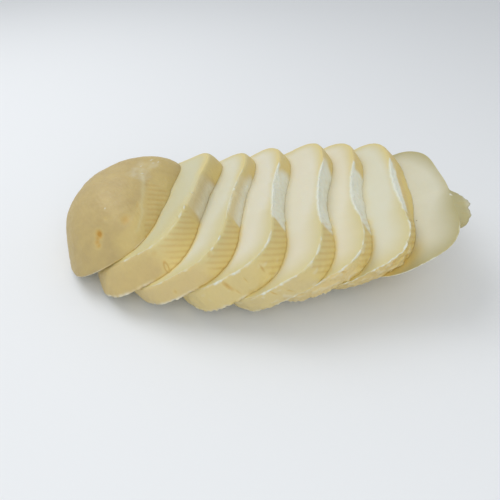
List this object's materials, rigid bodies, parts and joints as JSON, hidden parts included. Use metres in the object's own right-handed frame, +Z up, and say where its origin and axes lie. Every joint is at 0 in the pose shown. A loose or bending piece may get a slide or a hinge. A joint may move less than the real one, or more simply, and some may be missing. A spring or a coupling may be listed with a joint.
{
  "type": "butter cheese",
  "caption": "small round butter cheese with a tan ribbed rind, cut in slices that lean on each other in a fanned row between its rind heels",
  "frame": {"origin": "on the board, under the middle of the row's box", "axes": "+X along the row from the left heel to the right heel, +Y to the back along the cheese's depth, +Z up"},
  "size_m": [0.213, 0.132, 0.0445],
  "materials": {
    "left_heel": "soft satin rind",
    "slice_2": "moist satin paste with a tan rind",
    "slice_3": "moist satin paste with a tan rind",
    "slice_4": "moist satin paste with a tan rind",
    "slice_5": "moist satin paste with a tan rind",
    "slice_6": "moist satin paste with a tan rind",
    "slice_7": "moist satin paste with a tan rind",
    "right_heel": "moist satin paste with a tan rind"
  },
  "bodies": {
    "root": {"left_heel": "left_heel", "slice_2": "slice_2", "slice_3": "slice_3", "slice_4": "slice_4", "slice_5": "slice_5", "slice_6": "slice_6", "slice_7": "slice_7", "right_heel": "right_heel"}
  },
  "joints": []
}
